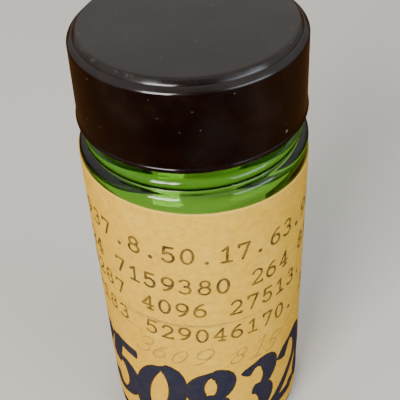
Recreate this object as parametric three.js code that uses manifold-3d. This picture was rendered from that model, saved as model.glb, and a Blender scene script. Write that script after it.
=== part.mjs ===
// A green glass prescription vial with a moulded screw cap, its two-layer liner and a wrapped paper label.
// Millimetres, +Z up. The vial stands on z = 0 with its axis on the Z axis, and its label faces -Y.
import * as THREE from "three";
import { mergeVertices } from "three/addons/utils/BufferGeometryUtils.js";
import Module from "manifold-3d";

const wasm = await Module();
wasm.setup();

// Glass body
const bodyDiameter = 26.1;
const bodyHeight = 46.4; // from the resting ring to the top of the shoulder
const bodyWall = 1.6;
const baseThickness = 3;
const heelRadius = 1.5;
const shoulderRadius = 0.9;
const innerHeelRadius = 2.4;
const pushUpDepth = 0.8; // the hollow under the base
const restingRingWidth = 3.4;
const pushUpSlope = 2.2;

// Glass bead that rings the foot of the neck
const beadInset = 0.75; // from the side of the body to the side of the bead
const beadRadius = 0.8;
const beadRise = 0.7; // from the top of the shoulder to the bead's middle
const grooveDepth = 0.65; // how far the groove under the bead pulls in

// Glass neck
const neckDiameter = 19.4; // at the foot of the thread
const neckWall = 1.8; // at the foot of the thread
const lipRounding = 0.45;
const neckFootRise = 0.5; // from the top of the bead to the straight neck
const innerShoulderDrop = 3.2; // how far the inner shoulder falls from the bead to the straight wall

// Screw thread, right-handed, one start
const threadPitch = 3.175;
const threadDepth = 1.15;
const threadBaseWidth = 1.7;
const threadCrestWidth = 0.6;
const threadTurns = 1.4;
const threadStartDrop = 1; // from the lip to the top of the thread
const threadRunOut = 0.1; // turns over which each end of a thread fades out
const threadRooting = 0.4; // how deep each thread is rooted in its wall

// Cap
const capHeight = 10.3;
const capWall = 1.5; // from the bore to the side, where the side meets the rounded shoulder
const capFlare = 0.12; // how much wider the side is at the bottom bead than at the top, on each side
const capBeadProud = 0.16;
const capBeadHeight = 0.75;
const capTopThickness = 1.2;
const capShoulderWidth = 0.65; // from the side to the groove round the raised disc
const capDiscRounding = 0.75; // how far in the rounded edge of the disc reaches
const capGrooveDepth = 0.6;
const capGrooveWidth = 0.15;
const capShoulderCrestDrop = 0.48; // from the top to the shoulder's crest and the foot of the disc
const capShoulderDrop = 1.05; // from the top to where the side wall starts
const capMouthChamfer = 0.3;
const capThreadBaseWidth = 1.4;
const capThreadLead = 0.2; // turns of cap thread above the start of the glass thread
const capThreadFootRise = 1.25; // from the cap's rim to the middle of its lowest thread

// Liner and label
const backingThickness = 0.7;
const facingThickness = 0.15;
const labelThickness = 0.12;
const labelLength = 57.2;
const labelSkew = THREE.MathUtils.degToRad(2.6); // the label is stuck on slightly askew
const labelBottomMargin = 2.93; // glass showing below the label, at the middle of its front
const labelTopMargin = 1.17; // straight glass showing above the label, at the middle of its front

// Clearances
const capToBeadGap = 1.4;
const threadRadialClearance = 0.25; // between each thread's crest and the wall that it faces
const threadFlankClearance = 0.25; // between the flanks that carry the load
const linerSideClearance = 0.25;
const glueGap = 0.05;

// Fineness of the round faces
const roundSegments = 48;
const arcSteps = 4;
const labelRows = 6;

// Heights and radii that follow from the values above
const bodyRadius = bodyDiameter / 2;
const innerRadius = bodyRadius - bodyWall;
const beadOuterRadius = bodyRadius - beadInset;
const beadMiddle = bodyHeight + beadRise;
const beadTop = beadMiddle + beadRadius;
const neckRadius = neckDiameter / 2;
const boreRadius = neckRadius - neckWall;
const capBottom = beadTop + capToBeadGap;
const capTop = capBottom + capHeight;
const capCeiling = capTop - capTopThickness;
const facingTop = capCeiling - backingThickness;
const lipTop = facingTop - facingThickness;
const threadStart = lipTop - threadStartDrop - threadBaseWidth / 2;
const capBoreRadius = neckRadius + threadDepth + threadRadialClearance;
const capSideRadius = capBoreRadius + capWall;
const linerRadius = capBoreRadius - linerSideClearance;
const flankSlope = (threadBaseWidth - threadCrestWidth) / 2 / threadDepth;
const labelInnerRadius = bodyRadius + glueGap;
const labelBottom = labelBottomMargin;
const labelTop = bodyHeight - shoulderRadius - labelTopMargin;

function point(radius, height) {
  return new THREE.Vector2(radius, height);
}

// Points on a rounded corner, between two angles measured from the outward direction.
function arc(centre, across, up, fromDegrees, toDegrees) {
  return Array.from({ length: arcSteps + 1 }, (_, i) => {
    const angle = THREE.MathUtils.degToRad(THREE.MathUtils.lerp(fromDegrees, toDegrees, i / arcSteps));
    return point(centre.x + across * Math.cos(angle), centre.y + up * Math.sin(angle));
  });
}

// A closed geometry as a solid that can be joined and cut.
function toSolid(geometry) {
  const bare = geometry.clone();
  bare.deleteAttribute("normal");
  bare.deleteAttribute("uv");
  const merged = mergeVertices(bare, 1e-5);
  const corners = [];
  for (let i = 0; i < merged.index.count; i += 3) {
    const [a, b, c] = [0, 1, 2].map((k) => merged.index.getX(i + k));
    if (a !== b && b !== c && c !== a) {
      corners.push(a, b, c);
    }
  }
  const vertProperties = new Float32Array(merged.attributes.position.array);
  const triVerts = new Uint32Array(corners);
  return new wasm.Manifold(new wasm.Mesh({ numProp: 3, vertProperties, triVerts }));
}

function toGeometry(solid) {
  const { vertProperties, triVerts } = solid.getMesh();
  const geometry = new THREE.BufferGeometry();
  geometry.setAttribute("position", new THREE.BufferAttribute(vertProperties, 3));
  geometry.setIndex(new THREE.BufferAttribute(triVerts, 1));
  geometry.computeVertexNormals();
  return geometry;
}

// An outline of radius and height turned about the Z axis, with its solid on the left of its travel.
function turned(outline) {
  return toSolid(new THREE.LatheGeometry(outline, roundSegments).rotateX(Math.PI / 2));
}

// The nearest turn that falls midway between two edges of a faceted round wall.
function betweenFacetEdges(turn) {
  return (Math.round(turn * roundSegments - 0.5) + 0.5) / roundSegments;
}

// A right-handed helical ridge whose middle falls one pitch a turn from `middle` at turn 0. It grows
// from a root inside its wall to a crest, and fades into the wall over the run-out at each end.
function helicalRidge({ rootRadius, crestRadius, rootWidth, crestWidth, middle, fromTurn, toTurn }) {
  const section = new THREE.Shape([
    point(rootRadius, -rootWidth / 2),
    point(crestRadius, -crestWidth / 2),
    point(crestRadius, crestWidth / 2),
    point(rootRadius, rootWidth / 2),
  ]);
  const firstTurn = betweenFacetEdges(fromTurn);
  const turns = betweenFacetEdges(toTurn) - firstTurn;
  const steps = Math.round(turns * roundSegments);
  const ridge = new THREE.ExtrudeGeometry(section, { depth: 1, steps, bevelEnabled: false });
  const place = ridge.attributes.position;
  const fadedHeight = threadRooting / 2 / Math.abs(crestRadius - rootRadius);
  for (let i = 0; i < place.count; i += 1) {
    const along = place.getZ(i);
    const turn = firstTurn + along * turns;
    const turnsToEnd = Math.min(along, 1 - along) * turns;
    const growth = THREE.MathUtils.smoothstep(turnsToEnd, 0, threadRunOut);
    const height = THREE.MathUtils.lerp(fadedHeight, 1, growth);
    const radius = THREE.MathUtils.lerp(rootRadius, place.getX(i), height);
    const angle = -2 * Math.PI * turn;
    const level = middle - threadPitch * turn + place.getY(i);
    place.setXYZ(i, radius * Math.cos(angle), radius * Math.sin(angle), level);
  }
  return toSolid(ridge);
}

// The glass from the middle of its base, up its outside to the lip and down its inside.
function glassOutline() {
  const restingInner = bodyRadius - heelRadius - restingRingWidth;
  const shoulderCentre = point(bodyRadius - shoulderRadius, bodyHeight - shoulderRadius);
  const beadCentre = point(beadOuterRadius - beadRadius, beadMiddle);
  const shoulder = arc(shoulderCentre, shoulderRadius, shoulderRadius, 0, 65);
  const bead = arc(beadCentre, beadRadius, beadRadius, -35, 90);
  const groove = new THREE.QuadraticBezierCurve(
    shoulder[arcSteps],
    point(beadOuterRadius - grooveDepth, bodyHeight + beadRise / 6),
    bead[0],
  );
  const innerShoulder = new THREE.CubicBezierCurve(
    point(boreRadius, beadTop),
    point(boreRadius, beadMiddle - beadRadius),
    point(innerRadius, bodyHeight - shoulderRadius / 2),
    point(innerRadius, beadTop - innerShoulderDrop - beadRadius),
  );
  const innerHeelCentre = point(innerRadius - innerHeelRadius, baseThickness + innerHeelRadius);
  const lipHeight = lipTop - lipRounding;
  return [
    point(0, pushUpDepth),
    point(restingInner - pushUpSlope, pushUpDepth),
    point(restingInner, 0),
    ...arc(point(bodyRadius - heelRadius, heelRadius), heelRadius, heelRadius, -90, 0),
    ...shoulder,
    ...groove.getPoints(arcSteps).slice(1, -1),
    ...bead,
    point(neckRadius, beadTop + neckFootRise),
    ...arc(point(neckRadius - lipRounding, lipHeight), lipRounding, lipRounding, 0, 90),
    ...arc(point(boreRadius + lipRounding, lipHeight), lipRounding, lipRounding, 90, 180),
    ...innerShoulder.getPoints(2 * arcSteps),
    ...arc(innerHeelCentre, innerHeelRadius, innerHeelRadius, 0, -90),
    point(0, baseThickness),
  ];
}

function glassThread() {
  return helicalRidge({
    rootRadius: neckRadius - threadRooting,
    crestRadius: neckRadius + threadDepth,
    rootWidth: threadBaseWidth + 2 * flankSlope * threadRooting,
    crestWidth: threadCrestWidth,
    middle: threadStart,
    fromTurn: 0,
    toTurn: threadTurns,
  });
}

function glassVial() {
  return toGeometry(turned(glassOutline()).add(glassThread()));
}

// The cap from the middle of its ceiling, down its bore to the rim and up its side to its top.
function capOutline() {
  const sideFoot = capSideRadius + capFlare;
  const beadFoot = sideFoot + capBeadProud;
  const rimRounding = capBeadHeight / 2;
  const grooveOuter = capSideRadius - capShoulderWidth;
  const discRadius = grooveOuter - capGrooveWidth;
  const grooveFloor = capTop - capGrooveDepth;
  const shoulderCentre = point(grooveOuter, capTop - capShoulderDrop);
  const shoulderRise = capShoulderDrop - capShoulderCrestDrop;
  const discCentre = point(discRadius - capDiscRounding, capTop - capShoulderCrestDrop);
  return [
    point(0, capCeiling),
    point(capBoreRadius, capCeiling),
    point(capBoreRadius, capBottom + capMouthChamfer),
    point(capBoreRadius + capMouthChamfer, capBottom),
    ...arc(point(beadFoot - rimRounding, capBottom + rimRounding), rimRounding, rimRounding, -90, 30),
    point(sideFoot, capBottom + capBeadHeight + capBeadProud),
    ...arc(shoulderCentre, capShoulderWidth, shoulderRise, 0, 90),
    point(grooveOuter, grooveFloor),
    point(discRadius, grooveFloor),
    ...arc(discCentre, capDiscRounding, capShoulderCrestDrop, 0, 90),
    point(0, capTop),
  ];
}

// The cap's thread lies under the glass thread and pulls up against its lower flank.
function capThread() {
  const radialPlay = capBoreRadius - neckRadius;
  const touching = (threadBaseWidth + capThreadBaseWidth) / 2 - flankSlope * radialPlay;
  const middle = threadStart - touching - threadFlankClearance;
  const lowestMiddle = capBottom + capThreadFootRise;
  return helicalRidge({
    rootRadius: capBoreRadius + threadRooting,
    crestRadius: neckRadius + threadRadialClearance,
    rootWidth: capThreadBaseWidth + 2 * flankSlope * threadRooting,
    crestWidth: capThreadBaseWidth - 2 * flankSlope * threadDepth,
    middle,
    fromTurn: -capThreadLead,
    toTurn: (middle - lowestMiddle) / threadPitch,
  });
}

function screwCap() {
  return toGeometry(turned(capOutline()).add(capThread()));
}

// A flat round liner layer whose lower face lies at `bottom`.
function linerDisc(bottom, thickness) {
  const disc = new THREE.CylinderGeometry(linerRadius, linerRadius, thickness, roundSegments);
  disc.rotateX(Math.PI / 2).translate(0, 0, bottom + thickness / 2);
  return toGeometry(toSolid(disc));
}

// A rectangle of paper turned by the skew, then wrapped round the glass from the front.
function paperLabel() {
  const height = labelTop - labelBottom;
  const columns = Math.ceil((labelLength / (2 * Math.PI * labelInnerRadius)) * roundSegments);
  const paper = new THREE.BoxGeometry(labelLength, labelThickness, height, columns, 1, labelRows);
  paper.rotateY(labelSkew);
  const middleRadius = labelInnerRadius + labelThickness / 2;
  const place = paper.attributes.position;
  for (let i = 0; i < place.count; i += 1) {
    const angle = place.getX(i) / middleRadius;
    const radius = middleRadius - place.getY(i);
    const level = (labelBottom + labelTop) / 2 + place.getZ(i);
    place.setXYZ(i, radius * Math.sin(angle), -radius * Math.cos(angle), level);
  }
  return toGeometry(toSolid(paper));
}

function piece(name, geometry, colour, roughness) {
  const material = new THREE.MeshStandardMaterial({ color: colour, roughness, metalness: 0 });
  const mesh = new THREE.Mesh(geometry, material);
  mesh.name = name;
  return mesh;
}

const vial = new THREE.Group();
vial.add(
  piece("glass_vial", glassVial(), 0x5a8a1e, 0.08),
  piece("paper_label", paperLabel(), 0xd9b56b, 0.55),
);

const closure = new THREE.Group();
closure.add(
  piece("screw_cap", screwCap(), 0x1a0b08, 0.22),
  piece("liner_backing", linerDisc(facingTop, backingThickness), 0xb9a27c, 0.9),
  piece("liner_facing", linerDisc(lipTop, facingThickness), 0xd8d2c0, 0.6),
);

const assembly = new THREE.Group();
assembly.add(vial, closure);

export default assembly;
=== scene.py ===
"""A green glass prescription vial with a moulded screw cap and a paper label, built round its frame.

Lengths are in metres. The vial stands on z = 0 with its axis on the Z axis, and its label faces -Y.
"""

import math
import random

import bpy
from bpy.props import FloatProperty, FloatVectorProperty, IntProperty, PointerProperty
from mathutils import Matrix, Vector, noise


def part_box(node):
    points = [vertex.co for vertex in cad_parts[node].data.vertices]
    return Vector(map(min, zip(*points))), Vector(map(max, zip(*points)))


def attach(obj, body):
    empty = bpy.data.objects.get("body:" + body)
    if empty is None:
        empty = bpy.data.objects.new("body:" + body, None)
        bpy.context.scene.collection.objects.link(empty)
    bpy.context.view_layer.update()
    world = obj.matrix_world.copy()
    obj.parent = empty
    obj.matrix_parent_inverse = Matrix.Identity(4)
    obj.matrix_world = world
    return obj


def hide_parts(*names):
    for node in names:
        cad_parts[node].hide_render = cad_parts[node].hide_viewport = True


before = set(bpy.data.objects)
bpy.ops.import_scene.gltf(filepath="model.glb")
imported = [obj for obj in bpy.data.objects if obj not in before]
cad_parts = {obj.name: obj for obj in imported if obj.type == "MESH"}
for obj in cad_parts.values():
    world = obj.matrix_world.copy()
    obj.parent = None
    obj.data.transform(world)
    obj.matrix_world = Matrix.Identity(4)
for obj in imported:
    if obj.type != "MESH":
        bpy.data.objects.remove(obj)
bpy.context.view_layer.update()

bl_info = {
    "name": "Prescription vial",
    "version": (1, 0, 0),
    "blender": (4, 5, 0),
    "location": "View3D > Sidebar > Vial",
    "description": "Builds a glass prescription vial with its screw cap, liner and label",
    "category": "Add Mesh",
}

GLASS_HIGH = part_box("glass_vial")[1]
CAP_LOW, CAP_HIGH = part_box("screw_cap")
BACKING_LOW, BACKING_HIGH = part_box("liner_backing")
FACING_LOW, FACING_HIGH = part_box("liner_facing")
LABEL_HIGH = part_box("paper_label")[1]
MM = 0.001
RIDGE_SIDES = 14
RIDGE_END = 0.12  # size of a thread's section at its very end
GLASS_IOR = 1.52
PHENOLIC_IOR = 1.55


# --- Settings ---


def length(name, description, default):
    return FloatProperty(
        name=name, description=description, default=default, min=0, precision=6, unit="LENGTH"
    )


def angle(name, description, degrees):
    return FloatProperty(
        name=name, description=description, default=math.radians(degrees), subtype="ANGLE"
    )


def share(name, description, default):
    return FloatProperty(name=name, description=description, default=default, min=0)


def count(name, description, default):
    return IntProperty(name=name, description=description, default=default, min=3)


def colour(name, description, default):
    return FloatVectorProperty(
        name=name, description=description, default=default, size=3, min=0, max=1, subtype="COLOR"
    )


class GlassSettings(bpy.types.PropertyGroup):
    body_radius: length("Body radius", "Outside of the straight wall", GLASS_HIGH.x)
    lip_height: length("Lip height", "Top of the lip", GLASS_HIGH.z)
    body_height: length("Body height", "Top of the shoulder", 46.4 * MM)
    wall: length("Wall", "Thickness of the straight wall", 1.6 * MM)
    base: length("Base", "Thickness of the floor above the table", 3 * MM)
    heel_radius: length("Heel radius", "Rounding of the outside of the heel", 1.5 * MM)
    inner_heel: length("Inner heel radius", "Rounding between wall and floor inside", 2.4 * MM)
    push_up: length("Push-up", "Depth of the hollow under the base", 0.8 * MM)
    resting_ring: length("Resting ring", "Width of the flat ring it stands on", 3.4 * MM)
    push_up_slope: length("Push-up slope", "Width of the slope round the hollow", 2.2 * MM)
    shoulder_radius: length("Shoulder radius", "Rounding of the shoulder", 0.9 * MM)
    bead_inset: length("Bead inset", "From the side of the body to the side of the bead", 0.75 * MM)
    bead_radius: length("Bead radius", "Rounding of the bead at the foot of the neck", 0.8 * MM)
    bead_rise: length("Bead rise", "From the shoulder to the middle of the bead", 0.7 * MM)
    groove_depth: length("Groove depth", "How far the groove under the bead pulls in", 0.35 * MM)
    neck_radius: length("Neck radius", "Outside of the neck at the foot of its thread", 9.7 * MM)
    neck_wall: length("Neck wall", "Thickness of the neck", 1.8 * MM)
    neck_foot: length("Neck foot", "Height of the curve from the bead to the neck", 0.5 * MM)
    lip_radius: length("Lip radius", "Rounding of the lip", 0.45 * MM)
    inner_drop: length("Inner shoulder", "How far the inner shoulder falls", 3.2 * MM)
    sides: count("Sides", "Facets round the glass", 128)
    thread_width: length("Thread width", "Width of the glass thread at its foot", 1.5 * MM)
    tint: colour("Tint", "Light that the glass lets through", (0.48, 0.78, 0.02))
    depth: share("Depth", "How strongly the glass colours the light, per metre", 820)


class ThreadSettings(bpy.types.PropertyGroup):
    pitch: length("Pitch", "Rise of the thread in one turn", 3.175 * MM)
    depth: length("Depth", "Height of the thread above its wall", 1.15 * MM)
    start_drop: length("Start", "From the lip to the middle of the thread's start", 1.85 * MM)
    turns: share("Turns", "Turns of the glass thread", 1.4)
    play: length("Play", "From each crest to the wall it faces", 0.25 * MM)
    cap_drop: length("Cap thread drop", "From the glass thread down to the cap's", 1.13 * MM)
    cap_lead: share("Cap lead", "Turns of cap thread above the glass thread's start", 0.2)
    cap_foot: length("Cap foot", "From the cap's rim to its lowest thread", 1.25 * MM)
    run_out: share("Run-out", "Turns over which each end fades out", 0.1)
    steps: count("Steps", "Steps in a turn", 72)


class CapSettings(bpy.types.PropertyGroup):
    rim_radius: length("Rim radius", "Outside of the bead round the rim", CAP_HIGH.x)
    rim: length("Rim", "Height of the rim", CAP_LOW.z)
    top: length("Top", "Height of the cap's top", CAP_HIGH.z)
    ceiling: length("Ceiling", "Height of the ceiling inside", BACKING_HIGH.z)
    bore_radius: length("Bore radius", "Inside of the skirt", 11.1 * MM)
    side_radius: length("Side radius", "Outside of the side at its top", 12.6 * MM)
    flare: length("Flare", "How much wider the side is at its foot", 0.12 * MM)
    bead_height: length("Bead height", "Height of the bead round the rim", 0.75 * MM)
    step_radius: length("Step radius", "Outside of the raised disc", 11.95 * MM)
    step_drop: length("Step drop", "From the top to the crease round the disc", 0.54 * MM)
    crease: length("Crease", "Width and depth of the crease round the disc", 0.07 * MM)
    shoulder_drop: length("Shoulder drop", "From the top to the side", 1.1 * MM)
    disc_reach: length("Disc bevel", "How far in the disc's bevelled edge reaches", 0.47 * MM)
    softness: length("Softness", "Rounding of the corners of the top", 0.24 * MM)
    chamfer: length("Chamfer", "Chamfer inside the rim", 0.3 * MM)
    thread_width: length("Thread width", "Width of the cap's thread at its foot", 1.1 * MM)
    sides: count("Sides", "Facets round the cap", 128)
    body: colour("Phenolic", "Body of the moulding", (0.0042, 0.0009, 0.0006))
    flow: colour("Flow", "Paler filler in the moulding", (0.0085, 0.0023, 0.0010))
    dust: colour("Dust", "Dust and rubbed edges", (0.30, 0.28, 0.26))


class LinerSettings(bpy.types.PropertyGroup):
    radius: length("Radius", "Outside of both discs", BACKING_HIGH.x)
    edge: length("Edge", "Rounding of each disc's edge", 0.05 * MM)
    dent: length("Dent", "Depth that the lip has pressed into the facing", 0.035 * MM)
    sides: count("Sides", "Facets round each disc", 96)
    pulp: colour("Pulpboard", "Backing disc", (0.42, 0.31, 0.17))
    wax: colour("Waxed paper", "Facing disc", (0.64, 0.59, 0.46))


class LabelSettings(bpy.types.PropertyGroup):
    long: length("Length", "Length of the paper round the glass", 57.2 * MM)
    high: length("Height", "Height of the paper", 41.4 * MM)
    top: length("Top", "Height of the top edge at the middle of the front", 44.33 * MM)
    thickness: length("Thickness", "Thickness of the paper", 0.1 * MM)
    radius: length("Radius", "Radius of the paper's face", LABEL_HIGH.x - 0.045 * MM)
    skew: angle("Skew", "How far the label is turned from straight", 2.6)
    relief: length("Relief", "How far the stuck paper rises and falls", 0.008 * MM)
    columns: count("Columns", "Facets along the label", 220)
    rows: count("Rows", "Facets up the label", 120)
    paper: colour("Paper", "Aged paper", (0.84, 0.48, 0.026))
    golden: colour("Golden paper", "Where the varnish has yellowed most", (0.80, 0.42, 0.014))
    # Painted shade: the back is much darker than gummed paper, to stand for the shade inside the vial
    # seen through the glass.
    back: colour("Back", "Gummed back of the paper", (0.10, 0.055, 0.018))
    # Pale paper also makes the band along the cut edges, where it is partly a painted highlight.
    pale: colour("Pale paper", "Where the varnish is thin, and cut edges", (0.92, 0.65, 0.11))


class MarkSettings(bpy.types.PropertyGroup):
    pitch: length("Pitch", "From one typed numeral to the next", 2.117 * MM)
    typed_height: length("Typed height", "Height of a typed numeral", 2.2 * MM)
    typed_stroke: length("Typed stroke", "Width of a typed stroke", 0.33 * MM)
    printed_height: length("Printed height", "Height of a printed numeral", 11.2 * MM)
    typed: colour("Typing ink", "Ribbon ink", (0.020, 0.012, 0.008))
    navy: colour("Navy", "Printed numerals", (0.014, 0.017, 0.042))
    edging: colour("Edging", "Outline of the printed numerals", (0.010, 0.008, 0.010))
    pencil: colour("Pencil", "Pencil marks", (0.14, 0.10, 0.05))


class StageSettings(bpy.types.PropertyGroup):
    floor: colour("Floor", "Plain pale floor", (0.72, 0.69, 0.65))
    wall: colour("Surroundings", "Light from all round", (0.72, 0.71, 0.68))
    below: colour("Below", "What glossy faces mirror below the horizon", (0.13, 0.055, 0.016))
    camera_back: length("Camera back", "From the axis to the camera", 72.53 * MM)
    camera_height: length("Camera height", "From the table to the camera", 97.75 * MM)
    camera_pitch: angle("Camera pitch", "How far the camera looks down", 40.92)
    camera_yaw: angle("Camera yaw", "How far the camera looks to the right", 0.243)
    camera_roll: angle("Camera roll", "How far the camera is tipped", -3.08)
    lens: share("Lens", "Focal length in millimetres, for a 36 mm frame", 70.11)


class VialSettings(bpy.types.PropertyGroup):
    glass: PointerProperty(type=GlassSettings)
    thread: PointerProperty(type=ThreadSettings)
    cap: PointerProperty(type=CapSettings)
    liner: PointerProperty(type=LinerSettings)
    label: PointerProperty(type=LabelSettings)
    marks: PointerProperty(type=MarkSettings)
    stage: PointerProperty(type=StageSettings)


# --- Modelling ---


def deselect():
    bpy.ops.object.select_all(action="DESELECT")


def select_only(piece):
    deselect()
    piece.select_set(True)
    bpy.context.view_layer.objects.active = piece


def newest(name):
    """Names the object that the last operator made, and its mesh."""
    piece = bpy.context.object
    piece.name = piece.data.name = name
    return piece


def arc(centre, across, up, start, end, steps=10):
    """Points on a rounded corner, between two angles in degrees from straight outwards."""
    turns = [math.radians(start + (end - start) * i / steps) for i in range(steps + 1)]
    return [(centre[0] + across * math.cos(t), centre[1] + up * math.sin(t)) for t in turns]


def bend(centre, radius, start, end, steps=10):
    return arc(centre, radius, radius, start, end, steps)


def bezier(points, steps):
    """Points on a Bezier curve of any degree, without its two ends."""
    curve = []
    for i in range(1, steps):
        row = [Vector(p) for p in points]
        while len(row) > 1:
            row = [a.lerp(b, i / steps) for a, b in zip(row, row[1:])]
        curve.append(tuple(row[0]))
    return curve


def hold_flats(outline, reach=0.12 * MM):
    """Adds a point near each end of every long straight stretch, which keeps its shading flat."""
    held = [outline[0]]
    for a, b in zip(outline, outline[1:]):
        start, end = Vector(a), Vector(b)
        span = (end - start).length
        if span > 5 * reach:
            held += [tuple(start.lerp(end, t)) for t in (reach / span, 1 - reach / span)]
        held.append(b)
    return held


def turn_shell(name, outline, sides):
    """A closed round shell, drawn ring by ring along an outline of (radius, height) that starts and
    ends on the axis. Its first and last stretches are flat."""
    rings = [p for p in outline if p[0] > 0]
    deselect()
    bpy.ops.mesh.primitive_circle_add(
        vertices=sides, radius=rings[0][0], fill_type="TRIFAN", location=(0, 0, rings[0][1])
    )
    shell = newest(name)
    bpy.ops.object.transform_apply()
    bpy.ops.object.mode_set(mode="EDIT")
    bpy.ops.mesh.region_to_loop()
    for (radius, height), (next_radius, next_height) in zip(rings, rings[1:]):
        rise = (0, 0, next_height - height)
        bpy.ops.mesh.extrude_edges_move(TRANSFORM_OT_translate={"value": rise})
        grow = next_radius / radius
        bpy.ops.transform.resize(value=(grow, grow, 1), center_override=(0, 0, next_height))
    bpy.ops.mesh.extrude_edges_move(TRANSFORM_OT_translate={"value": (0, 0, 0)})
    bpy.ops.mesh.merge(type="CENTER")
    bpy.ops.mesh.select_all(action="SELECT")
    bpy.ops.mesh.normals_make_consistent(inside=False)
    bpy.ops.object.mode_set(mode="OBJECT")
    return shell


def turn_thread(name, thread, wall, crest, width, middle, first_turn, last_turn):
    """A right-handed helical ridge of oval section, centred on its wall, that fades into it at both
    ends. `middle` is the ridge's height at turn 0, and it falls one pitch a turn."""
    stride = 1 / thread.steps
    steps = round((last_turn - first_turn) / stride)
    angle_step = -2 * math.pi * stride

    def growth(step):
        to_end = min(step, steps - step) * stride / thread.run_out
        eased = min(1, to_end)
        return RIDGE_END + (1 - RIDGE_END) * eased * eased * (3 - 2 * eased)

    deselect()
    start = Vector((wall, 0, middle - thread.pitch * first_turn))
    bpy.ops.mesh.primitive_circle_add(
        vertices=RIDGE_SIDES, radius=1, fill_type="NGON", location=start, rotation=(math.pi / 2, 0, 0)
    )
    ridge = newest(name)
    bpy.ops.object.transform_apply()
    bpy.ops.object.mode_set(mode="EDIT")
    size = (abs(crest - wall) * growth(0), 1, width / 2 * growth(0))
    bpy.ops.transform.resize(value=size, center_override=start)
    turn_about_axis(-first_turn * 2 * math.pi)
    place = Matrix.Rotation(-first_turn * 2 * math.pi, 3, "Z") @ start
    for step in range(1, steps + 1):
        bpy.ops.mesh.extrude_region_move(
            TRANSFORM_OT_translate={"value": (0, 0, -thread.pitch * stride)}
        )
        turn_about_axis(angle_step)
        place = Matrix.Rotation(angle_step, 3, "Z") @ place
        place.z -= thread.pitch * stride
        grow = growth(step) / growth(step - 1)
        if abs(grow - 1) > 1e-6:
            bpy.ops.transform.resize(value=(grow, grow, grow), center_override=place)
    bpy.ops.mesh.select_all(action="SELECT")
    bpy.ops.mesh.normals_make_consistent(inside=False)
    bpy.ops.object.mode_set(mode="OBJECT")
    return ridge


def turn_about_axis(radians):
    """Turns the selection counter-clockwise about the Z axis."""
    bpy.ops.transform.rotate(
        value=-radians, orient_axis="Z", orient_type="GLOBAL", center_override=(0, 0, 0)
    )


def apply_modifier(piece, kind, **settings):
    select_only(piece)
    bpy.ops.object.modifier_add(type=kind)
    modifier = piece.modifiers[-1]
    for key, value in settings.items():
        setattr(modifier, key, value)
    bpy.ops.object.modifier_apply(modifier=modifier.name)


def join_solids(piece, tool):
    apply_modifier(piece, "BOOLEAN", operation="UNION", solver="EXACT", object=tool)
    bpy.data.objects.remove(tool)


def shade(piece, degrees):
    """Smooths every edge that bends by less than an angle."""
    select_only(piece)
    bpy.ops.object.shade_smooth_by_angle(angle=math.radians(degrees))


def settle(piece, body, slot, material, *nodes):
    """Finishes a piece: its material, its body and the nodes that it stands for. The slot is not used."""
    piece.data.materials.clear()
    piece.data.materials.append(material)
    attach(piece, body)
    if nodes:
        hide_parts(*nodes)


# --- Materials ---


def add_node(tree, kind, links=None, **settings):
    """Adds a node. A link's value is another node's socket, or a number or colour for this one."""
    node = tree.nodes.new(kind)
    for key, value in settings.items():
        setattr(node, key, value)
    for key, value in (links or {}).items():
        if isinstance(value, bpy.types.NodeSocket):
            tree.links.new(value, node.inputs[key])
        else:
            node.inputs[key].default_value = value
    return node


def new_material(name):
    material = bpy.data.materials.new(name)
    material.use_nodes = True
    return material, material.node_tree, material.node_tree.nodes["Principled BSDF"]


def noise_at(tree, place, scale, detail=4, roughness=0.55):
    links = {"Vector": place, "Scale": scale, "Detail": detail, "Roughness": roughness}
    return add_node(tree, "ShaderNodeTexNoise", links).outputs["Fac"]


def stepped(tree, value, low, high, out_low=0.0, out_high=1.0):
    """A smooth step of a value from one range to another."""
    links = {"Value": value, "From Min": low, "From Max": high, "To Min": out_low, "To Max": out_high}
    kind = "ShaderNodeMapRange"
    return add_node(tree, kind, links, interpolation_type="SMOOTHSTEP").outputs["Result"]


def maths(tree, operation, first, second=0.0):
    return add_node(tree, "ShaderNodeMath", {0: first, 1: second}, operation=operation).outputs[0]


def times(tree, first, second):
    return maths(tree, "MULTIPLY", first, second)


def feed(shader, name, socket):
    """Links a socket to one of the shader's inputs."""
    shader.id_data.links.new(socket, shader.inputs[name])


def preset(shader, name, value):
    shader.inputs[name].default_value = value


def mixed(tree, share_socket, first, second):
    """A mix of two colours. A plain colour is given as three numbers."""
    links = {"Factor": share_socket}
    node = add_node(tree, "ShaderNodeMix", links, data_type="RGBA")
    for key, value in ((6, first), (7, second)):
        if isinstance(value, bpy.types.NodeSocket):
            tree.links.new(value, node.inputs[key])
        else:
            node.inputs[key].default_value = (*value, 1)
    return node.outputs[2]


def bumped(tree, shader, height, strength, distance):
    links = {"Height": height, "Strength": strength, "Distance": distance}
    bump = add_node(tree, "ShaderNodeBump", links)
    feed(shader, "Normal", bump.outputs["Normal"])


def object_place(tree):
    return add_node(tree, "ShaderNodeTexCoord").outputs["Object"]


def ring_radius(tree, place):
    """Distance from the Z axis, and height."""
    parts = add_node(tree, "ShaderNodeSeparateXYZ", {0: place})
    flat = add_node(tree, "ShaderNodeCombineXYZ", {0: parts.outputs[0], 1: parts.outputs[1]})
    length_node = add_node(tree, "ShaderNodeVectorMath", {0: flat.outputs[0]}, operation="LENGTH")
    return length_node.outputs["Value"], parts.outputs[2]


def specks(tree, place, scale, size, share_kept):
    """Scattered round specks: 1 inside a speck and 0 outside."""
    cells = add_node(tree, "ShaderNodeTexVoronoi", {"Vector": place, "Scale": scale})
    near = stepped(tree, cells.outputs["Distance"], size, size * 0.5)
    pick = add_node(tree, "ShaderNodeSeparateXYZ", {0: cells.outputs["Color"]}).outputs[0]
    return times(tree, near, stepped(tree, pick, 1 - share_kept, 1.01 - share_kept))


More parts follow.
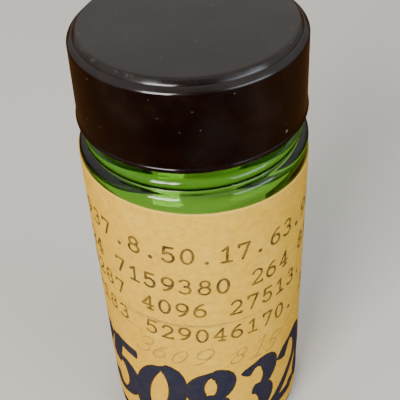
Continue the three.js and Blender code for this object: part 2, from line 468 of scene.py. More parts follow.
def green_glass(settings):
    material, tree, shader = new_material("green_glass")
    place = object_place(tree)
    preset(shader, "Base Color", (1, 1, 1, 1))
    preset(shader, "Transmission Weight", 1)
    preset(shader, "IOR", GLASS_IOR)
    smear = noise_at(tree, place, 260, 3)
    feed(shader, "Roughness", stepped(tree, smear, 0.45, 0.75, 0.015, 0.05))
    ripple = noise_at(tree, place, 190, 2)
    bumped(tree, shader, ripple, 0.25, 0.12 * MM)
    lamp_ray = add_node(tree, "ShaderNodeLightPath").outputs["Is Shadow Ray"]
    clear = add_node(tree, "ShaderNodeBsdfTransparent", {"Color": (0.93, 0.96, 0.88, 1)})
    mix = add_node(tree, "ShaderNodeMixShader", {0: lamp_ray, 1: shader.outputs[0]})
    tree.links.new(clear.outputs[0], mix.inputs[2])
    depth = add_node(tree, "ShaderNodeVolumeAbsorption")
    preset(depth, "Color", (*settings.tint, 1))
    preset(depth, "Density", settings.depth)
    output = tree.nodes["Material Output"]
    tree.links.new(mix.outputs[0], output.inputs["Surface"])
    tree.links.new(depth.outputs[0], output.inputs["Volume"])
    return material


def phenolic(settings):
    material, tree, shader = new_material("black_brown_phenolic")
    place = object_place(tree)
    radius, height = ring_radius(tree, place)
    flow = stepped(tree, noise_at(tree, place, 420, 6, 0.65), 0.42, 0.72)
    body = mixed(tree, flow, settings.body, settings.flow)
    scuff = stepped(tree, noise_at(tree, place, 900, 5, 0.7), 0.50, 0.72)
    rim = stepped(tree, height, settings.rim + 0.55 * MM, settings.rim + 0.15 * MM)
    disc = settings.step_radius
    crest = stepped(tree, height, settings.top - 0.5 * MM, settings.top - 0.1 * MM)
    disc_edge = stepped(tree, radius, disc - 0.6 * MM, disc - 0.1 * MM)
    edges = maths(tree, "MAXIMUM", rim, times(tree, crest, disc_edge))
    worn = times(tree, times(tree, edges, scuff), 0.22)
    fine = specks(tree, place, 1500, 0.16, 0.07)
    coarse = specks(tree, place, 420, 0.10, 0.06)
    lint = times(tree, specks(tree, place, 190, 0.07, 0.10), 0.16)
    dust = maths(tree, "MAXIMUM", times(tree, fine, 0.22), times(tree, coarse, 0.5))
    dust = maths(tree, "MAXIMUM", dust, lint)
    film = times(tree, stepped(tree, noise_at(tree, place, 130, 4), 0.45, 0.8), 0.02)
    cover = maths(tree, "MAXIMUM", maths(tree, "MAXIMUM", dust, worn), film)
    feed(shader, "Base Color", mixed(tree, cover, body, settings.dust))
    smudge = stepped(tree, noise_at(tree, place, 170, 4), 0.35, 0.75, 0.13, 0.26)
    rough = maths(tree, "ADD", smudge, times(tree, cover, 0.5))
    feed(shader, "Roughness", rough)
    preset(shader, "IOR", PHENOLIC_IOR)
    ripple = noise_at(tree, place, 330, 2)
    bumped(tree, shader, maths(tree, "ADD", ripple, times(tree, dust, 0.6)), 0.2, 0.05 * MM)
    return material


def liner_board(settings):
    material, tree, shader = new_material("pulpboard")
    place = object_place(tree)
    fibre = noise_at(tree, place, 2600, 6, 0.7)
    blotch = noise_at(tree, place, 500, 3)
    dark = tuple(0.55 * c for c in settings.pulp)
    tone = times(tree, stepped(tree, fibre, 0.35, 0.75), stepped(tree, blotch, 0.2, 0.7))
    feed(shader, "Base Color", mixed(tree, tone, dark, settings.pulp))
    feed(shader, "Roughness", stepped(tree, fibre, 0.3, 0.7, 0.82, 0.96))
    bumped(tree, shader, fibre, 0.6, 0.06 * MM)
    return material


def waxed_paper(settings, lip_radius):
    material, tree, shader = new_material("waxed_paper")
    place = object_place(tree)
    radius, _ = ring_radius(tree, place)
    cloud = stepped(tree, noise_at(tree, place, 350, 5), 0.35, 0.7)
    stain = tuple(c * k for c, k in zip(settings.wax, (0.72, 0.62, 0.45)))
    inside = stepped(tree, radius, lip_radius + 0.3 * MM, lip_radius - 0.9 * MM)
    tone = times(tree, times(tree, inside, cloud), 0.7)
    feed(shader, "Base Color", mixed(tree, tone, settings.wax, stain))
    feed(shader, "Roughness", stepped(tree, cloud, 0, 1, 0.32, 0.5))
    bumped(tree, shader, noise_at(tree, place, 1800, 3), 0.3, 0.02 * MM)
    return material


def aged_paper(settings):
    material, tree, shader = new_material("aged_label_paper")
    sheet = add_node(tree, "ShaderNodeUVMap", uv_map="UVMap").outputs[0]
    scale = (settings.long / MM, settings.high / MM, 1)
    flat = add_node(tree, "ShaderNodeMapping", {"Vector": sheet, "Scale": scale}).outputs[0]
    grain_place = add_node(
        tree, "ShaderNodeMapping", {"Vector": flat, "Scale": (0.5, 3.2, 1)}
    ).outputs[0]
    parts = add_node(tree, "ShaderNodeSeparateXYZ", {0: sheet})
    along, up = parts.outputs[0], parts.outputs[1]
    blotch = noise_at(tree, flat, 0.14, 4, 0.6)
    low = stepped(tree, up, 0.75, 0.2, 0, 0.55)
    left = stepped(tree, along, 0.55, 0.2, 0, 0.4)
    amount = maths(tree, "ADD", maths(tree, "ADD", low, left), maths(tree, "SUBTRACT", blotch, 0.45))
    varnish = stepped(tree, amount, 0.05, 0.85)
    tone = mixed(tree, varnish, settings.paper, settings.golden)
    pale_patch = stepped(tree, noise_at(tree, flat, 0.32, 5, 0.62), 0.50, 0.75, 0, 0.38)
    tone = mixed(tree, pale_patch, tone, settings.pale)
    mottle = stepped(tree, noise_at(tree, flat, 1.1, 6, 0.72), 0.42, 0.66, 0, 0.42)
    tone = mixed(tree, mottle, tone, tuple(0.55 * c for c in settings.paper))
    grain = stepped(tree, noise_at(tree, grain_place, 2.2, 5, 0.7), 0.35, 0.7, 0, 0.16)
    tone = mixed(tree, grain, tone, settings.pale)
    foxing = times(tree, specks(tree, flat, 0.9, 0.12, 0.10), 0.35)
    tone = mixed(tree, foxing, tone, (0.30, 0.15, 0.05))
    edge_along = times(tree, edge_distance(tree, along), settings.long / MM)
    edge_up = times(tree, edge_distance(tree, up), settings.high / MM)
    edge = maths(tree, "MINIMUM", edge_along, edge_up)
    # Paler band along the cut edges: worn paper, and partly a painted highlight of the cut edge catching
    # the light.
    ragged = maths(tree, "ADD", edge, times(tree, noise_at(tree, flat, 2.2, 3), -0.25))
    rubbed = stepped(tree, ragged, 0.22, 0.02, 0, 0.75)
    tone = mixed(tree, rubbed, tone, settings.pale)
    feed(shader, "Base Color", tone)
    sheen = stepped(tree, noise_at(tree, flat, 0.5, 4), 0.3, 0.75, 0.36, 0.58)
    feed(shader, "Roughness", sheen)
    fibres = noise_at(tree, grain_place, 3.5, 5, 0.7)
    bumped(tree, shader, fibres, 0.25, 0.02 * MM)
    return material


# Brown gummed back, painted much darker: painted shade for the inside of the vial, which the cap and the
# label keep from the light.
def gummed_back_painted_shade(settings):
    material, tree, shader = new_material("gummed_back_painted_shade")
    place = object_place(tree)
    brushed = stepped(tree, noise_at(tree, place, 380, 5, 0.65), 0.3, 0.7)
    dark = tuple(0.5 * c for c in settings.back)
    feed(shader, "Base Color", mixed(tree, brushed, dark, settings.back))
    feed(shader, "Roughness", stepped(tree, brushed, 0, 1, 0.45, 0.7))
    bumped(tree, shader, brushed, 0.3, 0.02 * MM)
    return material


def edge_distance(tree, across):
    """How far a 0 to 1 coordinate is from the nearer of 0 and 1."""
    return maths(tree, "MINIMUM", across, maths(tree, "SUBTRACT", 1, across))


def dry_mark(name, colour_of_mark, paper, patch_scale, cover_low, cover_high, gloss):
    """Ink or pencil on paper: uneven where the paper's grain shows through."""
    material, tree, shader = new_material(name)
    place = object_place(tree)
    grain = noise_at(tree, place, patch_scale, 4, 0.7)
    patch = noise_at(tree, place, patch_scale * 0.18, 3)
    both = maths(tree, "ADD", times(tree, grain, 0.6), times(tree, patch, 0.4))
    cover = stepped(tree, both, 0.36, 0.62, cover_low, cover_high)
    feed(shader, "Base Color", mixed(tree, cover, paper, colour_of_mark))
    feed(shader, "Roughness", stepped(tree, grain, 0.3, 0.7, gloss, gloss + 0.15))
    bumped(tree, shader, grain, 0.2, 0.01 * MM)
    return material


def pale_floor(settings):
    material, tree, shader = new_material("pale_floor")
    place = object_place(tree)
    cloud = noise_at(tree, place, 9, 4)
    near = tuple(0.96 * c for c in settings.floor)
    feed(shader, "Base Color", mixed(tree, cloud, near, settings.floor))
    preset(shader, "Roughness", 0.8)
    return material


# --- Glass ---


def glass_outline(glass):
    """From the middle of the base, up the outside to the lip and down the inside to the floor."""
    resting_inner = glass.body_radius - glass.heel_radius - glass.resting_ring
    inner = glass.body_radius - glass.wall
    bore = glass.neck_radius - glass.neck_wall
    bead_middle = glass.body_height + glass.bead_rise
    bead_top = bead_middle + glass.bead_radius
    bead_side = glass.body_radius - glass.bead_inset
    heel = (glass.body_radius - glass.heel_radius, glass.heel_radius)
    rounding = glass.shoulder_radius
    shoulder = bend((glass.body_radius - rounding, glass.body_height - rounding), rounding, 0, 65)
    bead_centre = (bead_side - glass.bead_radius, bead_middle)
    bead = bend(bead_centre, glass.bead_radius, -35, 90, 14)
    groove = (bead_side - glass.groove_depth, glass.body_height + glass.bead_rise / 6)
    foot_top = (glass.neck_radius, bead_top + glass.neck_foot)
    foot_bend = (glass.neck_radius, bead_top)
    lip = glass.lip_height - glass.lip_radius
    inner_foot = bead_top - glass.inner_drop - glass.bead_radius
    inner_bends = [
        (bore, bead_top),
        (bore, bead_middle - glass.bead_radius),
        (inner, glass.body_height - glass.shoulder_radius / 2),
        (inner, inner_foot),
    ]
    inner_heel = (inner - glass.inner_heel, glass.base + glass.inner_heel)
    slope_top = (resting_inner - glass.push_up_slope, glass.push_up)
    slope = [
        slope_top,
        (resting_inner - glass.push_up_slope / 2, glass.push_up),
        (resting_inner - glass.push_up_slope / 2, 0),
        (resting_inner, 0),
    ]
    return [
        slope_top,
        *bezier(slope, 10),
        (resting_inner, 0),
        *bend(heel, glass.heel_radius, -90, 0),
        *shoulder,
        *bezier([shoulder[-1], groove, bead[0]], 10),
        *bead,
        *bezier([bead[-1], foot_bend, foot_top], 6),
        foot_top,
        *bend((glass.neck_radius - glass.lip_radius, lip), glass.lip_radius, 0, 90),
        *bend((bore + glass.lip_radius, lip), glass.lip_radius, 90, 180),
        inner_bends[0],
        *bezier(inner_bends, 22),
        inner_bends[-1],
        *bend(inner_heel, glass.inner_heel, 0, -90),
    ]


class VIAL_OT_glass(bpy.types.Operator):
    """Builds the green glass vial with its threaded neck"""

    bl_idname = "vial.glass"
    bl_label = "Glass vial"

    def execute(self, context):
        glass, thread = context.scene.vial.glass, context.scene.vial.thread
        body = turn_shell("green_vial", hold_flats(glass_outline(glass)), glass.sides)
        crest = glass.neck_radius + thread.depth
        start = glass.lip_height - thread.start_drop
        ridge = turn_thread(
            "glass_thread", thread, glass.neck_radius, crest, glass.thread_width, start, 0, thread.turns
        )
        join_solids(body, ridge)
        shade(body, 50)
        settle(body, "vial", "green_glass", green_glass(glass), "glass_vial")
        return {"FINISHED"}


# --- Cap and liner ---


def rounded(corners, radius, steps=6):
    """A line through corners of (radius, height), with every corner but the ends rounded off."""
    path = [corners[0]]
    for before, corner, after in zip(corners, corners[1:], corners[2:]):
        place = Vector(corner)
        back, ahead = Vector(before) - place, Vector(after) - place
        start = place + back.normalized() * min(radius, back.length * 0.45)
        end = place + ahead.normalized() * min(radius, ahead.length * 0.45)
        path += [tuple(start), *bezier([start, place, end], steps), tuple(end)]
    return path + [corners[-1]]


def cap_outline(cap):
    """From the middle of the ceiling, down the bore to the rim and up the side to the top."""
    foot = cap.side_radius + cap.flare
    rounding = cap.bead_height / 2
    bead = (cap.rim_radius - rounding, cap.rim + rounding)
    above_bead = (foot, cap.rim + cap.bead_height + (cap.rim_radius - foot))
    bead_bend = (foot, cap.rim + cap.bead_height)
    side_bead = bend(bead, rounding, -90, 35)
    crease_height = cap.top - cap.step_drop
    nearly_axis = 0.4 * cap.step_radius
    top = [
        (cap.side_radius + 0.01 * MM, cap.top - 2 * cap.shoulder_drop),
        (cap.side_radius, cap.top - cap.shoulder_drop),
        (cap.step_radius + cap.crease, crease_height),
        (cap.step_radius, crease_height - cap.crease),
        (cap.step_radius - cap.crease / 2, crease_height + cap.crease / 2),
        (cap.step_radius - cap.disc_reach, cap.top),
        (nearly_axis, cap.top),
    ]
    return [
        (nearly_axis, cap.ceiling),
        (cap.bore_radius, cap.ceiling),
        (cap.bore_radius, cap.rim + cap.chamfer),
        (cap.bore_radius + cap.chamfer, cap.rim),
        *side_bead,
        *bezier([side_bead[-1], bead_bend, above_bead], 6),
        above_bead,
        *rounded(top, cap.softness),
    ]


class VIAL_OT_cap(bpy.types.Operator):
    """Builds the moulded screw cap with its inner thread"""

    bl_idname = "vial.cap"
    bl_label = "Screw cap"

    def execute(self, context):
        vial = context.scene.vial
        cap, thread = vial.cap, vial.thread
        shell = turn_shell("phenolic_cap", hold_flats(cap_outline(cap)), cap.sides)
        middle = vial.glass.lip_height - thread.start_drop - thread.cap_drop
        lowest = cap.rim + thread.cap_foot
        crest = vial.glass.neck_radius + thread.play
        last_turn = (middle - lowest) / thread.pitch
        span = (-thread.cap_lead, last_turn)
        ridge = turn_thread("cap_thread", thread, cap.bore_radius, crest, cap.thread_width, middle, *span)
        join_solids(shell, ridge)
        shade(shell, 50)
        settle(shell, "cap", "phenolic", phenolic(cap), "screw_cap")
        return {"FINISHED"}


def disc_outline(liner, low, high, dent=None):
    """A flat disc from the middle of its underside to the middle of its top, with rounded edges. A
    dent is (inner radius, outer radius, depth) of the ring that the lip presses into the underside."""
    edge = liner.edge
    ring = []
    if dent:
        inner, outer, depth = dent
        soft = 0.35 * (outer - inner)
        ring = [(inner - soft, low), (inner + soft / 2, low + depth)]
        ring += [(outer - soft / 2, low + depth), (outer + soft, low)]
    return [
        (0.3 * liner.radius, low),
        *ring,
        *bend((liner.radius - edge, low + edge), edge, -90, 0, 4),
        *bend((liner.radius - edge, high - edge), edge, 0, 90, 4),
        (0.3 * liner.radius, high),
    ]


class VIAL_OT_liner(bpy.types.Operator):
    """Builds the pulpboard disc and its waxed facing"""

    bl_idname = "vial.liner"
    bl_label = "Cap liner"

    def execute(self, context):
        vial = context.scene.vial
        liner, glass = vial.liner, vial.glass
        backing = disc_outline(liner, BACKING_LOW.z, BACKING_HIGH.z)
        board = turn_shell("pulp_disc", hold_flats(backing), liner.sides)
        shade(board, 40)
        settle(board, "liner", "pulpboard", liner_board(liner), "liner_backing")
        dent = (glass.neck_radius - glass.neck_wall, glass.neck_radius, liner.dent)
        facing = disc_outline(liner, FACING_LOW.z, FACING_HIGH.z, dent)
        paper = turn_shell("waxed_disc", hold_flats(facing), liner.sides)
        shade(paper, 60)
        material = waxed_paper(liner, glass.neck_radius)
        settle(paper, "liner", "waxed_paper", material, "liner_facing")
        return {"FINISHED"}


# --- Label ---


BROAD_RELIEF = 0.16  # swells to a millimetre
FINE_RELIEF = 0.55
FINE_SHARE = 0.35
CUT_WEAR = 0.03 * MM


def relief_at(label, along, up):
    """How far the stuck paper stands off its mean, at a point of the flat label."""
    place = Vector((along / MM * BROAD_RELIEF, up / MM * BROAD_RELIEF, 3.7))
    fine = Vector((along / MM * FINE_RELIEF, up / MM * FINE_RELIEF, 9.1))
    return label.relief * (noise.noise(place) + FINE_SHARE * noise.noise(fine))


def wrap_label(piece, label):
    """Turns a flat piece by the label's skew and wraps it round the glass. Flat X runs along the
    paper and Y up it, from its middle, and Z stands out from its face."""
    for vertex in piece.data.vertices:
        along, up, proud = vertex.co
        proud += relief_at(label, along, up)
        x = along * math.cos(label.skew) + up * math.sin(label.skew)
        z = up * math.cos(label.skew) - along * math.sin(label.skew)
        turn = x / label.radius
        radius = label.radius + proud
        middle = label.top - label.high / 2
        vertex.co = (radius * math.sin(turn), -radius * math.cos(turn), middle + z)
    piece.data.update()


class VIAL_OT_label(bpy.types.Operator):
    """Builds the paper label and wraps it round the glass"""

    bl_idname = "vial.label"
    bl_label = "Paper label"

    def execute(self, context):
        label = context.scene.vial.label
        deselect()
        bpy.ops.mesh.primitive_grid_add(
            x_subdivisions=label.columns, y_subdivisions=label.rows, size=1, calc_uvs=True
        )
        paper = newest("label_paper")
        bpy.ops.object.mode_set(mode="EDIT")
        bpy.ops.transform.resize(value=(label.long, label.high, 1), center_override=(0, 0, 0))
        bpy.ops.object.mode_set(mode="OBJECT")
        self.fray(paper, label)
        apply_modifier(paper, "SOLIDIFY", thickness=label.thickness, offset=-1, use_even_offset=True)
        inner = [face.index for face in paper.data.polygons if face.normal.z < -0.5]
        wrap_label(paper, label)
        shade(paper, 40)
        settle(paper, "vial", "label_paper", aged_paper(label), "paper_label")
        # The inner faces take the back with its painted shade.
        paper.data.materials.append(gummed_back_painted_shade(label))
        for index in inner:
            paper.data.polygons[index].material_index = 1
        return {"FINISHED"}

    @staticmethod
    def fray(paper, label):
        """Moves the cut edges in a little, as old paper is worn."""
        for vertex in paper.data.vertices:
            side = abs(vertex.co.x) > 0.4999 * label.long
            end = abs(vertex.co.y) > 0.4999 * label.high
            if side or end:
                spot = Vector((vertex.co.x, vertex.co.y, 0)) / MM * 0.9
                wear = CUT_WEAR * (1 + noise.noise(spot)) + CUT_WEAR * abs(noise.noise(spot * 5))
                if side:
                    vertex.co.x -= math.copysign(wear, vertex.co.x)
                if end:
                    vertex.co.y -= math.copysign(wear, vertex.co.y)


# --- Numerals and marks ---


NUMERAL_MIDDLE = 0.33  # from a numeral's left side to its middle, for a height of 1
STRIP_WIDTH = 0.5 * MM
STRIP_HEIGHT = 0.8 * MM


def bow(x, y, across, up, start, end, steps=16):
    return arc((x, y), across, up, start, end, steps)


def numeral_strokes(character):
    """The pen strokes of a numeral, in a box 0.66 wide and 1 high."""
    strokes = {
        "0": [bow(0.33, 0.5, 0.29, 0.5, 90, 450, 28)],
        "1": [[(0.12, 0.80), (0.37, 1)], [(0.37, 1), (0.37, 0)], [(0.12, 0), (0.62, 0)]],
        "2": [
            bow(0.33, 0.71, 0.27, 0.29, 165, -38) + [(0.04, 0)],
            [(0.04, 0), (0.63, 0)],
            [(0.63, 0), (0.63, 0.10)],
        ],
        "3": [bow(0.31, 0.75, 0.25, 0.25, 150, -88), bow(0.31, 0.27, 0.30, 0.27, 88, -150)],
        "4": [
            [(0.47, 0), (0.47, 1)],
            [(0.47, 1), (0.02, 0.3)],
            [(0.02, 0.3), (0.65, 0.3)],
            [(0.30, 0), (0.63, 0)],
        ],
        "5": [
            [(0.58, 1), (0.14, 1)],
            [(0.14, 1), (0.10, 0.53)],
            bow(0.31, 0.32, 0.30, 0.32, 130, -150),
        ],
        "6": [bow(0.33, 0.3, 0.29, 0.3, 90, 450, 24), bow(0.64, 0.3, 0.60, 0.7, 180, 105, 12)],
        "7": [[(0.05, 0.84), (0.05, 1)], [(0.05, 1), (0.62, 1)], [(0.62, 1), (0.28, 0)]],
        "8": [bow(0.33, 0.76, 0.23, 0.24, 90, 450, 24), bow(0.33, 0.27, 0.29, 0.27, 90, 450, 24)],
        "9": [bow(0.33, 0.7, 0.29, 0.3, 90, 450, 24), bow(0.02, 0.7, 0.60, 0.7, 0, -75, 12)],
        ".": [[(0.33, 0.06), (0.34, 0.06)]],
        " ": [],
    }
    return strokes[character]


class MarkSheet:
    """Flat strokes with round ends, drawn on the label before it is wrapped. The strokes of one
    numeral lie a hair above each other, so that no two share a plane."""

    def __init__(self, first_level, step=0.002 * MM):
        self.corners, self.faces = [], []
        self.first_level, self.level, self.step = first_level, first_level, step

    def lay(self, points):
        start = len(self.corners)
        self.corners += [(x, y, self.level) for x, y in points]
        self.faces.append(tuple(range(start, start + len(points))))

    def next_numeral(self, lift=0.0):
        self.level = self.first_level + lift

    def stroke(self, points, half_width, end_round=1.0):
        """A stroke along points. half_width is a number, or a function of heading and share. Its
        ends bulge by end_round times its half width."""
        points = [Vector(p) for p in points]
        last = len(points) - 1
        places = []
        for i, point in enumerate(points):
            heading = (points[min(i + 1, last)] - points[max(i - 1, 0)]).normalized()
            width = half_width(heading, i / last) if callable(half_width) else half_width
            across = Vector((-heading.y, heading.x)) * width
            places.append((point, heading, width, across))
        for (a, _, _, across_a), (b, _, _, across_b) in zip(places, places[1:]):
            self.lay([a - across_a, b - across_b, b + across_b, a + across_a])
        for (point, heading, width, across), ahead in ((places[0], -1), (places[-1], 1)):
            bulge = heading * width * ahead * end_round
            turns = [math.pi * k / 8 for k in range(9)]
            end = [point - ahead * across * math.cos(t) + bulge * math.sin(t) for t in turns]
            self.lay(end)
        self.level += self.step

    def piece(self, name):
        """Makes the strokes a mesh, cut into strips that can follow the round glass."""
        mesh = bpy.data.meshes.new(name)
        mesh.from_pydata(self.corners, [], self.faces)
        piece = bpy.data.objects.new(name, mesh)
        bpy.context.scene.collection.objects.link(piece)
        select_only(piece)
        bpy.ops.object.mode_set(mode="EDIT")
        for axis, spacing in ((0, STRIP_WIDTH), (1, STRIP_HEIGHT)):
            reach = [corner[axis] for corner in self.corners]
            normal = (1 - axis, axis, 0)
            for k in range(math.ceil(min(reach) / spacing), math.ceil(max(reach) / spacing)):
                place = tuple(k * spacing * n for n in normal)
                bpy.ops.mesh.select_all(action="SELECT")
                bpy.ops.mesh.bisect(plane_co=place, plane_no=normal)
        bpy.ops.object.mode_set(mode="OBJECT")
        return piece


def slanted(point, corner, height, lean=0.0, turn=0.0):
    """A numeral's point placed at its lower left corner, at its height, leant over and turned."""
    x, y = point[0] * height + lean * point[1] * height, point[1] * height
    c, s = math.cos(turn), math.sin(turn)
    return (corner[0] + x * c - y * s, corner[1] + x * s + y * c)


TYPED_LINES = (
    # (baseline below the top edge in mm, shift in columns, characters)
    (7.3, 0.0, "58 937.8.50.17.63.90 41"),
    (12.1, -0.1, "60 24 7159380 264 81530"),
    (16.1, -0.3, "0 54287 4096 27513. 618"),
    (20.5, -0.2, "70 9183 529046170. 3402"),
)
PENCIL_LINES = (
    # (start, end, sag, width) in mm, across from the middle and down from the top edge
    ((-12, 17.6), (7.5, 17.3), 0.25, 0.09),
    ((-12.5, 18.3), (2.5, 17.9), -0.1, 0.07),
    ((-13, 20.6), (-7.5, 20.9), 0.1, 0.05),
    ((9.2, 25.3), (14.8, 21.5), -0.2, 0.05),
)
PENCIL_NUMERALS = "3609 815"
PENCIL_LEAN = 0.45
PENCIL_HALF_WIDTH = 0.075 * MM
PRINTED_NUMERALS = "7508326"
PRINTED_ADVANCE = 6.5 * MM
PRINTED_SHIFT = 0.6 * MM  # of the whole row to the left
PRINTED_DROP = 38.4 * MM  # from the label's top edge to the numerals' foot
PRINTED_NARROWING = 0.78
PRINTED_LEAN = 0.16
NIB_DEGREES = 25
THIN_STROKE = 0.28
ADDED_BY_NIB = 0.92
FACE_LIFT = 0.004 * MM


def stick_on(marks, label, material):
    """Wraps flat marks round the label and finishes them."""
    wrap_label(marks, label)
    settle(marks, "vial", "label_paper", material)


class VIAL_OT_typing(bpy.types.Operator):
    """Types plain numbers on the label and adds pencil marks"""

    bl_idname = "vial.typing"
    bl_label = "Typing and pencil"

    def execute(self, context):
        label, marks = context.scene.vial.label, context.scene.vial.marks
        typed = self.typed_lines(label, marks)
        ink = dry_mark("ribbon_ink", marks.typed, label.paper, 5200, 0.62, 0.98, 0.5)
        stick_on(typed, label, ink)
        pencilled = self.pencil_marks(label)
        lead = dry_mark("pencil_lead", marks.pencil, label.paper, 7000, 0.3, 0.95, 0.4)
        stick_on(pencilled, label, lead)
        return {"FINISHED"}

    @staticmethod
    def typed_lines(label, marks):
        chance = random.Random(12)
        sheet = MarkSheet(FACE_LIFT + 0.004 * MM)
        height = marks.typed_height
        for drop, shift, characters in TYPED_LINES:
            base = label.high / 2 - drop * MM
            for column, character in enumerate(characters, -(len(characters) // 2)):
                sheet.next_numeral()
                middle = (column + shift) * marks.pitch + chance.gauss(0, 0.035 * MM)
                corner = (middle - NUMERAL_MIDDLE * height, base + chance.gauss(0, 0.05 * MM))
                turn = chance.gauss(0, math.radians(0.9))
                stroke_width = marks.typed_stroke * (1 + chance.gauss(0, 0.07))
                weight = 1.75 if character == "." else 1
                for points in numeral_strokes(character):
                    placed = [slanted(p, corner, height, 0, turn) for p in points]
                    sheet.stroke(placed, stroke_width / 2 * weight)
        return sheet.piece("typed_numerals")

    @staticmethod
    def pencil_marks(label):
        """Underlines through the last typed lines, two short strokes and a row of numerals."""
        sheet = MarkSheet(FACE_LIFT + 0.001 * MM)
        top = label.high / 2

        def drawn(start, end, sag, width):
            (x0, y0), (x1, y1) = start, end
            points = []
            for i in range(25):
                t = i / 24
                x = (x0 + (x1 - x0) * t) * MM
                y = top - (y0 + (y1 - y0) * t + sag * 4 * t * (1 - t)) * MM
                points.append((x, y + 0.05 * MM * noise.noise(Vector((x / MM, y0, 1)))))
            sheet.stroke(points, lambda heading, t: width * MM * (0.35 + 0.65 * math.sin(math.pi * t)))

        for line in PENCIL_LINES:
            drawn(*line)
        for k, character in enumerate(PENCIL_NUMERALS):
            sheet.next_numeral(0.008 * MM)
            height = (2.6 if k % 3 else 3.3) * MM
            corner = ((-9.6 + 2.5 * k) * MM, top - (25.0 + 0.1 * k) * MM)
            for points in numeral_strokes(character):
                placed = [slanted(p, corner, height, PENCIL_LEAN) for p in points]
                sheet.stroke(placed, PENCIL_HALF_WIDTH)
        return sheet.piece("pencil_marks")


class VIAL_OT_printing(bpy.types.Operator):
    """Prints large plain numerals on the foot of the label"""

    bl_idname = "vial.printing"
    bl_label = "Printed numerals"

    def execute(self, context):
        label, marks = context.scene.vial.label, context.scene.vial.marks
        edging = self.numerals("numeral_edging", label, marks, 0.2 * MM, FACE_LIFT)
        black = dry_mark("print_edging", marks.edging, label.paper, 3800, 0.9, 1, 0.42)
        stick_on(edging, label, black)
        fill = self.numerals("printed_numerals", label, marks, 0, FACE_LIFT + 0.01 * MM)
        navy = dry_mark("navy_print", marks.navy, (0.05, 0.045, 0.06), 3800, 0.55, 1, 0.4)
        stick_on(fill, label, navy)
        return {"FINISHED"}

    @staticmethod
    def numerals(name, label, marks, spread, level):
        """Bold leaning numerals with thick and thin strokes, as a broad pen makes them. `spread`
        widens every stroke, for the outline under the fill."""
        sheet = MarkSheet(level)
        nib = math.radians(NIB_DEGREES)
        height = marks.printed_height
        narrow = PRINTED_NARROWING
        first = -(len(PRINTED_NUMERALS) - 1) / 2 * PRINTED_ADVANCE - PRINTED_SHIFT

        def width(heading, t):
            direction = math.atan2(heading.y, heading.x)
            return (THIN_STROKE + ADDED_BY_NIB * abs(math.sin(direction - nib))) * MM + spread

        for k, character in enumerate(PRINTED_NUMERALS):
            sheet.next_numeral(k % 2 * 0.001 * MM)
            base = label.high / 2 - PRINTED_DROP
            corner = (first + k * PRINTED_ADVANCE - NUMERAL_MIDDLE * height * narrow, base)
            for points in numeral_strokes(character):
                placed = [slanted((narrow * p[0], p[1]), corner, height, PRINTED_LEAN) for p in points]
                sheet.stroke(placed, width, 0.3)
        return sheet.piece(name)


# --- Stage ---


FLOOR_RADIUS = 8
FLOOR_DROP = 0.02 * MM  # below the vial's foot, so that no faces share a plane
WINDOW_DISTANCE = 0.6
WINDOW_AIM = Vector((0, 0, 50 * MM))
WALL_SHARE = 0.5  # light from the walls, against the ceiling
FRONT_SHARE = 0.1  # light from in front of the label
FRONT_TABLE_SHARE = 0.15


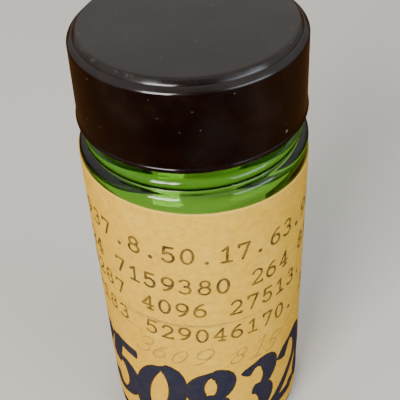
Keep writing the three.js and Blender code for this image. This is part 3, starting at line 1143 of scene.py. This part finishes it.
class VIAL_OT_stage(bpy.types.Operator):
    """Lays the floor and sets the soft light and the camera"""

    bl_idname = "vial.stage"
    bl_label = "Floor, light and camera"

    def execute(self, context):
        stage = context.scene.vial.stage
        self.lay_floor(stage)
        self.light_room(context.scene, stage)
        warm, cool = (1.0, 0.985, 0.95), (0.80, 0.89, 1.0)
        self.hang_window("left_window", warm, azimuth=-31, elevation=27, size=(0.27, 0.30), power=4.8)
        self.hang_window("right_window", cool, azimuth=55, elevation=26, size=(0.40, 0.26), power=1.5)
        self.place_camera(context.scene, stage)
        return {"FINISHED"}

    @staticmethod
    def lay_floor(stage):
        deselect()
        bpy.ops.mesh.primitive_circle_add(
            vertices=96, radius=FLOOR_RADIUS, fill_type="NGON", location=(0, 0, -FLOOR_DROP)
        )
        floor = newest("floor")
        bpy.ops.object.transform_apply()
        floor.data.materials.append(pale_floor(stage))
        floor.visible_glossy = False

    @staticmethod
    def light_room(scene, stage):
        """A pale room, darker on the label's side, with a dark table that only gloss shows."""
        world = bpy.data.worlds.new("pale_room")
        world.use_nodes = True
        scene.world = world
        tree = world.node_tree
        looking = add_node(tree, "ShaderNodeTexCoord").outputs["Generated"]
        _, ahead, up = add_node(tree, "ShaderNodeSeparateXYZ", {0: looking}).outputs
        walls = tuple(WALL_SHARE * c for c in stage.wall)
        shaded = tuple(FRONT_SHARE * c for c in stage.wall)
        room = mixed(tree, stepped(tree, up, 0.1, 0.55), walls, stage.wall)
        in_front = stepped(tree, ahead, -0.35, -0.75)
        room = mixed(tree, in_front, room, shaded)
        near_table = tuple(FRONT_TABLE_SHARE * c for c in stage.below)
        table = mixed(tree, in_front, stage.below, near_table)
        tone = mixed(tree, stepped(tree, up, -0.06, 0.02), table, room)
        tree.links.new(tone, tree.nodes["Background"].inputs["Color"])
        tree.nodes["Background"].inputs["Strength"].default_value = 1

    @staticmethod
    def hang_window(name, light_colour, azimuth, elevation, size, power):
        """A soft rectangular light. Azimuth 0 is in front of the label, and 90 on its right."""
        turn, lift = math.radians(azimuth), math.radians(elevation)
        away = Vector((math.sin(turn) * math.cos(lift), -math.cos(turn) * math.cos(lift), math.sin(lift)))
        data = bpy.data.lights.new(name, "AREA")
        data.shape = "RECTANGLE"
        data.size, data.size_y = size
        data.energy, data.color = power, light_colour
        lamp = bpy.data.objects.new(name, data)
        lamp.location = WINDOW_AIM + WINDOW_DISTANCE * away
        lamp.rotation_euler = away.to_track_quat("Z", "Y").to_euler()
        bpy.context.scene.collection.objects.link(lamp)

    @staticmethod
    def place_camera(scene, stage):
        data = bpy.data.cameras.new("camera")
        data.lens, data.sensor_width = stage.lens, 36
        data.clip_start, data.clip_end = 0.005, 20
        camera = bpy.data.objects.new("camera", data)
        camera.matrix_world = (
            Matrix.Translation((0, -stage.camera_back, stage.camera_height))
            @ Matrix.Rotation(-stage.camera_yaw, 4, "Z")
            @ Matrix.Rotation(math.pi / 2 - stage.camera_pitch, 4, "X")
            @ Matrix.Rotation(stage.camera_roll, 4, "Z")
        )
        scene.collection.objects.link(camera)
        scene.camera = camera


# --- Panel and registration ---


PIECES = (VIAL_OT_glass, VIAL_OT_cap, VIAL_OT_liner, VIAL_OT_label, VIAL_OT_typing, VIAL_OT_printing)
OPERATORS = (VIAL_OT_stage, *PIECES)


class VIAL_PT_maker(bpy.types.Panel):
    """Lists the pieces of the vial and the sizes behind them"""

    bl_label = "Prescription vial"
    bl_space_type = "VIEW_3D"
    bl_region_type = "UI"
    bl_category = "Vial"

    def draw(self, context):
        for operator in OPERATORS:
            self.layout.operator(operator.bl_idname)
        for group in ("glass", "thread", "cap", "liner", "label", "marks", "stage"):
            settings = getattr(context.scene.vial, group)
            box = self.layout.box()
            for name in settings.__annotations__:
                box.prop(settings, name)


CLASSES = (
    GlassSettings,
    ThreadSettings,
    CapSettings,
    LinerSettings,
    LabelSettings,
    MarkSettings,
    StageSettings,
    VialSettings,
    *OPERATORS,
    VIAL_PT_maker,
)


def register():
    for each in CLASSES:
        bpy.utils.register_class(each)
    bpy.types.Scene.vial = PointerProperty(type=VialSettings)


def unregister():
    del bpy.types.Scene.vial
    for each in reversed(CLASSES):
        bpy.utils.unregister_class(each)


def main():
    register()
    bpy.ops.vial.stage()
    bpy.ops.vial.glass()
    bpy.ops.vial.cap()
    bpy.ops.vial.liner()
    bpy.ops.vial.label()
    bpy.ops.vial.typing()
    bpy.ops.vial.printing()


if __name__ == "__main__":
    main()
